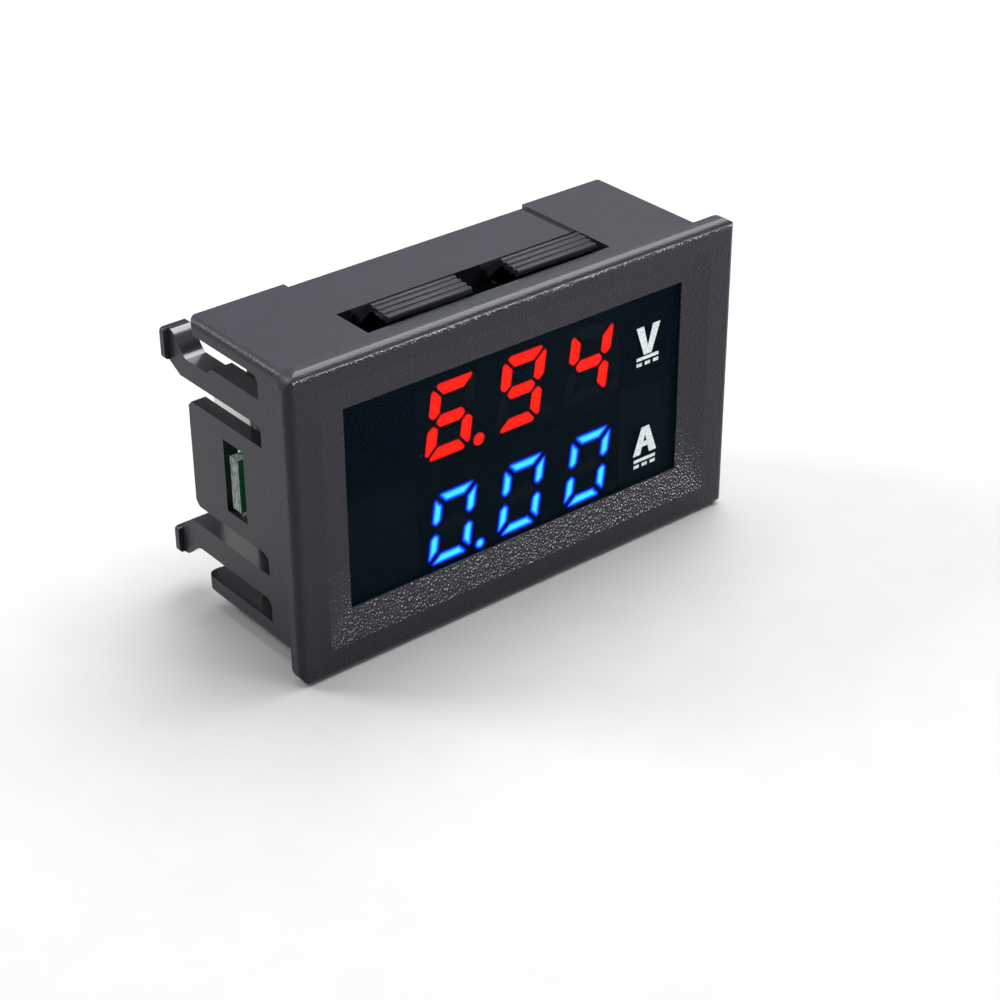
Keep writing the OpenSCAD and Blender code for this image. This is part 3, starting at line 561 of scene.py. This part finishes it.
def lit_bars(node, made, body_made):
    """Caps over the lit bars of one row, with a level that grows towards the middle of each."""
    dress(node, body_made)
    shape = merged_copy(node)
    level = shape.verts.layers.float.new("core")
    bmesh.ops.delete(shape, geom=[f for f in shape.faces if f.normal.y > -0.9], context="FACES")
    tips = [v for v in shape.verts if v.link_loops[0].calc_angle() < TIP_ANGLE]
    bmesh.ops.bevel(shape, geom=tips, offset=TIP_ROUND, offset_type="OFFSET", segments=4,
                    profile=0.5, affect="VERTICES", clamp_overlap=True, material=-1)
    fronts = shape.faces[:]
    for vert in shape.verts:
        vert[level] = EDGE_LEVEL
    bmesh.ops.inset_region(shape, faces=fronts, thickness=BLEED, use_boundary=True,
                           use_even_offset=True, use_outset=True)
    for vert in shape.verts:
        if vert.is_boundary:
            vert[level] = 0
    for depth, value in RINGS:
        bmesh.ops.inset_individual(shape, faces=fronts, thickness=depth, use_even_offset=True)
        for vert in {v for f in fronts for v in f.verts}:
            vert[level] = value
        short = {e for f in fronts if len(f.verts) < ROUND_OUTLINE for e in f.edges
                 if e.calc_length() < SHORT}
        bmesh.ops.collapse(shape, edges=list(short))
        fronts = [f for f in shape.faces if all(abs(v[level] - value) < 0.01 for v in f.verts)]
    thicken(shape, -CAP)
    add_piece(shape, node + "_glow", [made])


red_glow = glowing("red_glow", 5.2, [(0.0, (0.20, 0.0, 0.0)), (0.10, (0.90, 0.002, 0.001)),
                                     (0.5, (1.0, 0.004, 0.0)), (1.0, (1.0, 0.016, 0.0))])
blue_glow = glowing("blue_glow", 5.2, [(0.0, (0.0, 0.0, 0.22)), (0.10, (0.0, 0.001, 0.66)),
                                       (0.5, (0.001, 0.010, 0.84)), (0.68, (0.002, 0.05, 0.88)),
                                       (0.88, (0.018, 0.36, 0.93)), (1.0, (0.060, 0.82, 0.95))])
red_resin = finish("red_resin", (0.30, 0.01, 0.008), 0.4)
drift_colour(red_resin, pattern(red_resin, 0.4 * MM), (0.26, 0.008, 0.006), (0.34, 0.012, 0.010))
blue_resin = finish("blue_resin", (0.02, 0.10, 0.30), 0.4)
drift_colour(blue_resin, pattern(blue_resin, 0.4 * MM), (0.015, 0.08, 0.26), (0.025, 0.12, 0.34))
lit_bars("volt_display_lit_segments", red_glow, red_resin)
lit_bars("amp_display_lit_segments", blue_glow, blue_resin)

# %% [markdown]
# ## Display bodies
# The displays are potted in black shells. Their unlit bars are the same cloudy resin, which shows
# only as a faint grey through the smoke.

# %% Display finishes
shell_black = finish("display_shell_black", (0.006, 0.009, 0.011), 0.6, Specular_IOR_Level=0.2)
drift_colour(shell_black, pattern(shell_black, 0.6 * MM), (0.005, 0.008, 0.010),
             (0.008, 0.011, 0.014))
drift_roughness(shell_black, pattern(shell_black, 0.3 * MM), 0.5, 0.7)
cloudy = finish("cloudy_resin", (0.052, 0.044, 0.056), 0.5, Specular_IOR_Level=0.2)
drift_colour(cloudy, pattern(cloudy, 0.5 * MM), (0.044, 0.036, 0.047), (0.060, 0.052, 0.064))
for row in ("volt", "amp"):
    dress(row + "_display_shell", shell_black)
    dress(row + "_display_dark_segments", cloudy)

# %% [markdown]
# ## Circuit board
# The board is glass fibre under a green mask. It was snapped out of a bigger sheet, so its edge is
# bare fibre, pale and rough. The mask is glossy with a slight drift in its green.

# %% Board
mask_green = finish("green_mask", (0.010, 0.16, 0.055), 0.3, Coat_Weight=0.4)
drift_colour(mask_green, pattern(mask_green, 0.9 * MM), (0.009, 0.145, 0.050),
             (0.011, 0.175, 0.060))
relief(mask_green, pattern(mask_green, 0.25 * MM), 0.006 * MM)
fibre = finish("cut_fibre_edge", (0.30, 0.34, 0.26), 0.85)
drift_colour(fibre, pattern(fibre, 0.3 * MM, stretch=(1, 3, 0.5)), (0.06, 0.09, 0.08),
             (0.42, 0.47, 0.46))
relief(fibre, pattern(fibre, 0.2 * MM, stretch=(1, 3, 1)), 0.12 * MM)
board_low, board_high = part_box("circuit_board")
board = merged_copy("circuit_board")
for face in board.faces:
    face.material_index = 0 if abs(face.normal.y) > 0.5 else 1
add_piece(board, "circuit_board_finished", [mask_green, fibre], METER, ["circuit_board"])

# %% [markdown]
# ## Metal parts
# Pins and leads are tin over copper, with a soft shine and small scratches along them.

# %% Metal finishes
def metal(name, colour, roughness, size, depth):
    made = finish(name, colour, roughness, Metallic=1.0)
    drift_roughness(made, pattern(made, size), roughness - 0.08, roughness + 0.12)
    relief(made, pattern(made, size * 0.4, stretch=(1, 0.3, 1)), depth)
    return made


tin = metal("tinned_metal", (0.75, 0.74, 0.71), 0.32, 0.4 * MM, 0.004 * MM)
solder = metal("bright_solder", (0.72, 0.73, 0.75), 0.22, 0.5 * MM, 0.01 * MM)
alloy = metal("shunt_alloy", (0.55, 0.40, 0.27), 0.36, 0.5 * MM, 0.006 * MM)
brass = metal("trimmer_brass", (0.80, 0.60, 0.30), 0.30, 0.3 * MM, 0.004 * MM)
LEADS = ["controller_leads", "amplifier_leads", "regulator_leads", "diode_leads",
         "trimmer_terminals", "chip_end_caps"]
for node in LEADS:
    dress(node, tin)
for node in ("volt_display_pins", "amp_display_pins", "current_header_pins", "power_header_pins"):
    soft_copy(node, tin, 0.09 * MM)
dress("shunt_link", alloy)
soft_copy("volt_trimmer_rotor", brass, 0.05 * MM)
soft_copy("amp_trimmer_rotor", brass, 0.05 * MM)

# %% [markdown]
# ## Plastic and ceramic parts
# The headers are white nylon, which lets a little light into itself. Chips are black epoxy with a
# fine, dull surface.

# %% Plastic finishes
nylon = finish("white_nylon", (0.80, 0.79, 0.74), 0.42, Subsurface_Weight=0.15,
               Subsurface_Scale=0.6 * MM)
drift_colour(nylon, pattern(nylon, 1.5 * MM), (0.76, 0.75, 0.70), (0.84, 0.83, 0.78))
relief(nylon, pattern(nylon, 0.3 * MM), 0.006 * MM)
ceramic = finish("trimmer_ceramic", (0.74, 0.72, 0.64), 0.5)
drift_colour(ceramic, pattern(ceramic, 0.5 * MM), (0.70, 0.68, 0.60), (0.79, 0.77, 0.70))
epoxy = finish("chip_epoxy", (0.022, 0.022, 0.024), 0.6)
drift_colour(epoxy, pattern(epoxy, 0.2 * MM), (0.018, 0.018, 0.020), (0.028, 0.028, 0.030))
relief(epoxy, pattern(epoxy, 0.08 * MM), 0.01 * MM)
glaze = finish("resistor_glaze", (0.02, 0.02, 0.024), 0.25)
drift_roughness(glaze, pattern(glaze, 0.3 * MM), 0.2, 0.35)
titanate = finish("capacitor_ceramic", (0.40, 0.27, 0.15), 0.45)
drift_colour(titanate, pattern(titanate, 0.4 * MM), (0.36, 0.24, 0.13), (0.45, 0.31, 0.18))

soft_copy("current_header", nylon, 0.12 * MM)
soft_copy("power_header", nylon, 0.08 * MM)
soft_copy("volt_trimmer_body", ceramic, 0.08 * MM)
soft_copy("amp_trimmer_body", ceramic, 0.08 * MM)
for chip in ("controller_chip", "amplifier_chip", "regulator_chip"):
    soft_copy(chip, epoxy, 0.04 * MM)
dress("chip_resistors", glaze)
soft_copy("chip_capacitors", titanate, 0.05 * MM)

# %% [markdown]
# ## Solder
# A pin is soldered by hand, so the solder climbs it in a hollow curve. One joint is a profile that
# is spun round the pin. Each joint takes its place and size from one cone of the solid model, and
# a tinned ring of copper lies under it. A lead of a chip sits on a flat tinned pad instead.

# %% Find the solids of a node
board_rear = board_high.y
board_front = board_low.y


def islands(node, y_low=-1.0, y_high=1.0):
    """The corners of each separate solid of a node between two depths, row by row from the top."""
    shape = merged_copy(node)
    boxes = []
    left = set(shape.verts)
    while left:
        group = [left.pop()]
        for vert in group:
            near = {e.other_vert(vert) for e in vert.link_edges} & left
            left -= near
            group.extend(near)
        places = [v.co.copy() for v in group if y_low < v.co.y < y_high]
        if places:
            boxes.append([Vector([pick(c[i] for c in places) for i in range(3)])
                          for pick in (min, max)])
    shape.free()
    return sorted(boxes, key=lambda box: (-round(box[0].z / MM), box[0].x))


print("solder joints:", len(islands("solder_joints")))

# %% Turn the solder joints
PAD_T = 0.03 * MM
RING_W = 0.22 * MM
RING_BORE = 0.6
PIN_SHARE = 0.42
PIN_LAP = 0.8
FLANK_STEPS = 6
TURN_STEPS = 24


def turned(shape, x, y, z, profile):
    """Spins a closed profile of (radius, depth) points round an axis along Y."""
    verts = [shape.verts.new((x + r, y + d, z)) for r, d in profile]
    edges = [shape.edges.new((a, b)) for a, b in zip(verts, verts[1:] + verts[:1])]
    bmesh.ops.spin(shape, geom=verts + edges, cent=(x, y, z), axis=(0, 1, 0),
                   angle=math.radians(360), steps=TURN_STEPS, use_merge=True)


def solder_profile(radius, height):
    """Half of a section through a joint: a flat foot and a hollow flank."""
    pin = radius * PIN_SHARE
    flank = []
    for k in range(FLANK_STEPS + 1):
        turn = math.radians(90 * k / FLANK_STEPS)
        flank.append((pin + (radius - pin) * (1 - math.sin(turn)), height * (1 - math.cos(turn))))
    return [(pin * PIN_LAP, 0)] + flank + [(pin * PIN_LAP, height)]


joints = bmesh.new()
rings = bmesh.new()
for low, high in islands("solder_joints"):
    radius = (high.x - low.x) / 2
    centre = (low + high) / 2
    behind = centre.y > board_rear
    foot = board_rear if behind else board_front
    way = 1 if behind else -1
    profile = [(r, way * d) for r, d in solder_profile(radius, high.y - low.y)]
    turned(joints, centre.x, foot, centre.z, profile)
    bore = radius * RING_BORE
    ring = [(bore, 0), (radius + RING_W, 0), (radius + RING_W, way * PAD_T), (bore, way * PAD_T)]
    turned(rings, centre.x, foot, centre.z, ring)
for shape in (joints, rings):
    bmesh.ops.recalc_face_normals(shape, faces=shape.faces)
add_piece(joints, "solder_fillets", [solder], METER, ["solder_joints"], smooth=50)
add_piece(rings, "pad_rings", [tin])

# %% Pads under the leads
PAD_LAP = 0.14 * MM
FOOT_T = 0.12 * MM
pads = bmesh.new()
for node in LEADS:
    for low, high in islands(node, board_rear - PAD_T, board_rear + FOOT_T):
        flat_sheet(pads, (low.x - PAD_LAP, low.z - PAD_LAP), (high.x + PAD_LAP, high.z + PAD_LAP),
                   board_rear)
thicken(pads, PAD_T)
add_piece(pads, "lead_pads", [solder])

# %% [markdown]
# ## Traces
# Copper under the green mask shows as a paler raised line. A trace runs along the board and turns
# by an eighth of a turn, so each one is a few points between the pads that it joins. A curve with
# a round section follows the points, and flattening the mesh leaves a low ridge.

# %% Draw a trace
TRACE_W = 0.42 * MM
TRACE_RISE = 0.035 * MM
masked_copper = finish("masked_copper", (0.030, 0.33, 0.12), 0.28, Coat_Weight=0.4)
drift_colour(masked_copper, pattern(masked_copper, 1.5 * MM), (0.026, 0.30, 0.11),
             (0.034, 0.37, 0.135))


def elbow(start, end):
    """Points from start to end: a straight run along one axis, then a diagonal."""
    across = end[0] - start[0]
    up = end[1] - start[1]
    reach = min(abs(across), abs(up))
    corner = (end[0] - math.copysign(reach, across), end[1] - math.copysign(reach, up))
    return [start, corner, end]


def trace(shape, points, width, rise):
    """Adds a flattened round bar along points across and up, on the board's rear."""
    line = bpy.data.curves.new("trace_line", "CURVE")
    line.dimensions = "3D"
    line.bevel_depth = width / 2
    line.bevel_resolution = 2
    line.use_fill_caps = True
    run = line.splines.new("POLY")
    run.points.add(len(points) - 1)
    for point, (x, z) in zip(run.points, points):
        point.co = (x, 0, z, 1)
    carrier = bpy.data.objects.new("trace_line", line)
    bpy.context.scene.collection.objects.link(carrier)
    bpy.context.view_layer.update()
    mesh = bpy.data.meshes.new_from_object(carrier)
    bpy.data.objects.remove(carrier)
    old = set(shape.verts)
    shape.from_mesh(mesh)
    fresh = [v for v in shape.verts if v not in old]
    bmesh.ops.scale(shape, vec=(1, 2 * rise / width, 1), verts=fresh)
    bmesh.ops.translate(shape, vec=(0, board_rear, 0), verts=fresh)


# %% Where the pads are
WHOLE = 1.0


def middles(node, y_high=board_rear + FOOT_T):
    """The middle of each separate solid of a node, across and up, read below a depth."""
    return [((low.x + high.x) / 2, (low.z + high.z) / 2)
            for low, high in islands(node, board_rear - PAD_T, y_high)]


controller = middles("controller_leads")
amplifier = middles("amplifier_leads")
regulator = middles("regulator_leads")
caps = middles("chip_end_caps")
terminals = middles("trimmer_terminals")
supply = middles("power_header_pins", WHOLE)
volt_pins = middles("volt_display_pins", WHOLE)
amp_pins = middles("amp_display_pins", WHOLE)
diode = middles("diode_leads")
print("display pins:", len(volt_pins + amp_pins), "end caps:", len(caps))

# %% Board traces
joined = [
    (controller[0], volt_pins[1]), (controller[3], volt_pins[2]), (controller[6], volt_pins[3]),
    (controller[9], volt_pins[4]), (controller[10], volt_pins[7]), (controller[13], volt_pins[8]),
    (controller[16], volt_pins[9]), (controller[19], volt_pins[10]), (caps[0], volt_pins[5]),
    (caps[12], volt_pins[11]), (caps[3], volt_pins[0]), (caps[7], volt_pins[7]),
    (caps[11], volt_pins[6]), (amplifier[0], amp_pins[1]), (amplifier[3], amp_pins[2]),
    (amplifier[4], amp_pins[6]), (amplifier[5], amp_pins[7]), (amplifier[7], amp_pins[8]),
    (caps[15], amp_pins[0]), (caps[21], amplifier[4]), (regulator[0], amp_pins[4]),
    (regulator[1], amp_pins[9]), (regulator[2], amp_pins[10]), (regulator[3], amp_pins[11]),
    (caps[16], amp_pins[5]), (caps[18], regulator[3]), (caps[24], amp_pins[11]),
    (caps[1], caps[25]), (diode[0], terminals[2]), (diode[1], terminals[3]),
    (terminals[1], caps[13]), (terminals[4], caps[25]), (supply[1], diode[0]),
]
TURN_IN = 1.2 * MM
routes = [elbow(start, end) for start, end in joined]
(x, z), (far_x, far_z) = supply[0], terminals[0]
routes.append([(x, z), (x, far_z - TURN_IN), (x - TURN_IN, far_z), (far_x, far_z)])
(x, z), (far_x, far_z) = supply[2], terminals[5]
routes.append([(x, z), (x, far_z + 3 * TURN_IN), (x - 3 * TURN_IN, far_z), (far_x, far_z)])
rail = caps[2][0] - TURN_IN
routes.append([caps[2], (rail, caps[2][1] - TURN_IN), (rail, caps[20][1] + TURN_IN), caps[20]])
for k in (6, 10, 14):
    routes.append([caps[k], (rail, caps[k][1])])
traces = bmesh.new()
for points in routes:
    trace(traces, points, TRACE_W, TRACE_RISE)
print(len(routes), "traces")
add_piece(traces, "board_traces", [masked_copper])

# %% [markdown]
# ## Heavy strips
# The measured current goes from the header to the shunt, so the copper there is wide, bare and
# flooded with solder. The same flattened bar makes it, wider and a little higher.

# %% Strips to the shunt
STRIP_W = 1.5 * MM
STRIP_RISE = 0.11 * MM
STRIP_BEND = 1.0 * MM
in_pin, out_pin = sorted(middles("current_header_pins", WHOLE), key=lambda place: place[1])
header_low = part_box("current_header")[0]
shunt_low, shunt_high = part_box("shunt_link")
wire_r = (shunt_high.z - shunt_low.z) / 2
near_foot = (shunt_high.x - wire_r, shunt_low.z + wire_r)
far_foot = (shunt_low.x + wire_r, shunt_low.z + wire_r)
beside = header_low.x - STRIP_BEND
strips = bmesh.new()
trace(strips, elbow(in_pin, near_foot), STRIP_W, STRIP_RISE)
trace(strips, [out_pin, (beside + STRIP_BEND, out_pin[1]), (beside, out_pin[1] - STRIP_BEND),
               (beside, far_foot[1] + far_foot[0] - beside), far_foot], STRIP_W, STRIP_RISE)
add_piece(strips, "shunt_strips", [solder])

# %% [markdown]
# ## White print on the board
# The board shop prints the outline of each big part in white ink, so that the part is set the
# right way round. A header has a whole frame. A chip has a line at each side without leads. A
# printed ring marks the first lead of a chip, and a pale band marks one end of the diode.

# %% Outlines on the board
PRINT_W = 0.16 * MM
PRINT_GAP = 0.22 * MM
PRINT_T = 0.015 * MM
white_ink = finish("white_ink", (0.72, 0.74, 0.70), 0.55)
drift_colour(white_ink, pattern(white_ink, 0.4 * MM), (0.64, 0.67, 0.62), (0.78, 0.79, 0.76))
outlines = bmesh.new()
for header in ("current_header", "power_header"):
    low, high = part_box(header)
    near, far = PRINT_GAP, PRINT_GAP + PRINT_W
    frame_sheet(outlines, (low.x - far, low.z - far), (high.x + far, high.z + far),
                (low.x - near, low.z - near), (high.x + near, high.z + near), board_rear)
for part in ("controller_chip", "amplifier_chip", "regulator_chip", "diode_body",
             "volt_trimmer_body", "amp_trimmer_body"):
    low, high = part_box(part)
    for place in (low.x - PRINT_GAP - PRINT_W, high.x + PRINT_GAP):
        flat_sheet(outlines, (place, low.z), (place + PRINT_W, high.z), board_rear)
thicken(outlines, PRINT_T)
add_piece(outlines, "board_print", [white_ink])

# %% Rings at the first leads
LEAD_MARK_R = 0.26 * MM
LEAD_MARK_BORE = 0.5 * LEAD_MARK_R
LEAD_MARK_INSET = 0.75 * MM
lead_marks = bmesh.new()
for part in ("controller_chip", "amplifier_chip"):
    low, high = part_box(part)
    turned(lead_marks, high.x - LEAD_MARK_INSET, high.y, high.z - LEAD_MARK_INSET,
           [(LEAD_MARK_BORE, 0), (LEAD_MARK_R, 0), (LEAD_MARK_R, PRINT_T),
            (LEAD_MARK_BORE, PRINT_T)])
bmesh.ops.recalc_face_normals(lead_marks, faces=lead_marks.faces)
add_piece(lead_marks, "first_lead_marks", [white_ink])

# %% Diode with its band
BAND = (0.85 * MM, 0.40 * MM)
low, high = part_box("diode_body")
diode_shape = merged_copy("diode_body")
round_edges(diode_shape, 0.04 * MM)
for inset in BAND:
    bmesh.ops.bisect_plane(diode_shape, plane_co=(0, 0, high.z - inset), plane_no=(0, 0, 1),
                           geom=diode_shape.verts[:] + diode_shape.edges[:] + diode_shape.faces[:])
for face in diode_shape.faces:
    down = high.z - face.calc_center_median().z
    face.material_index = 1 if BAND[1] < down < BAND[0] else 0
add_piece(diode_shape, "diode_body_finished", [epoxy, white_ink], METER, ["diode_body"])

# %% [markdown]
# ## Sizes
# The last cell prints the box of the dressed meter. The first cell printed the box of the solids.

# %% Print the size of the dressed meter
low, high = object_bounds()
print("visual box in mm:", [round(v / MM, 2) for v in high - low])
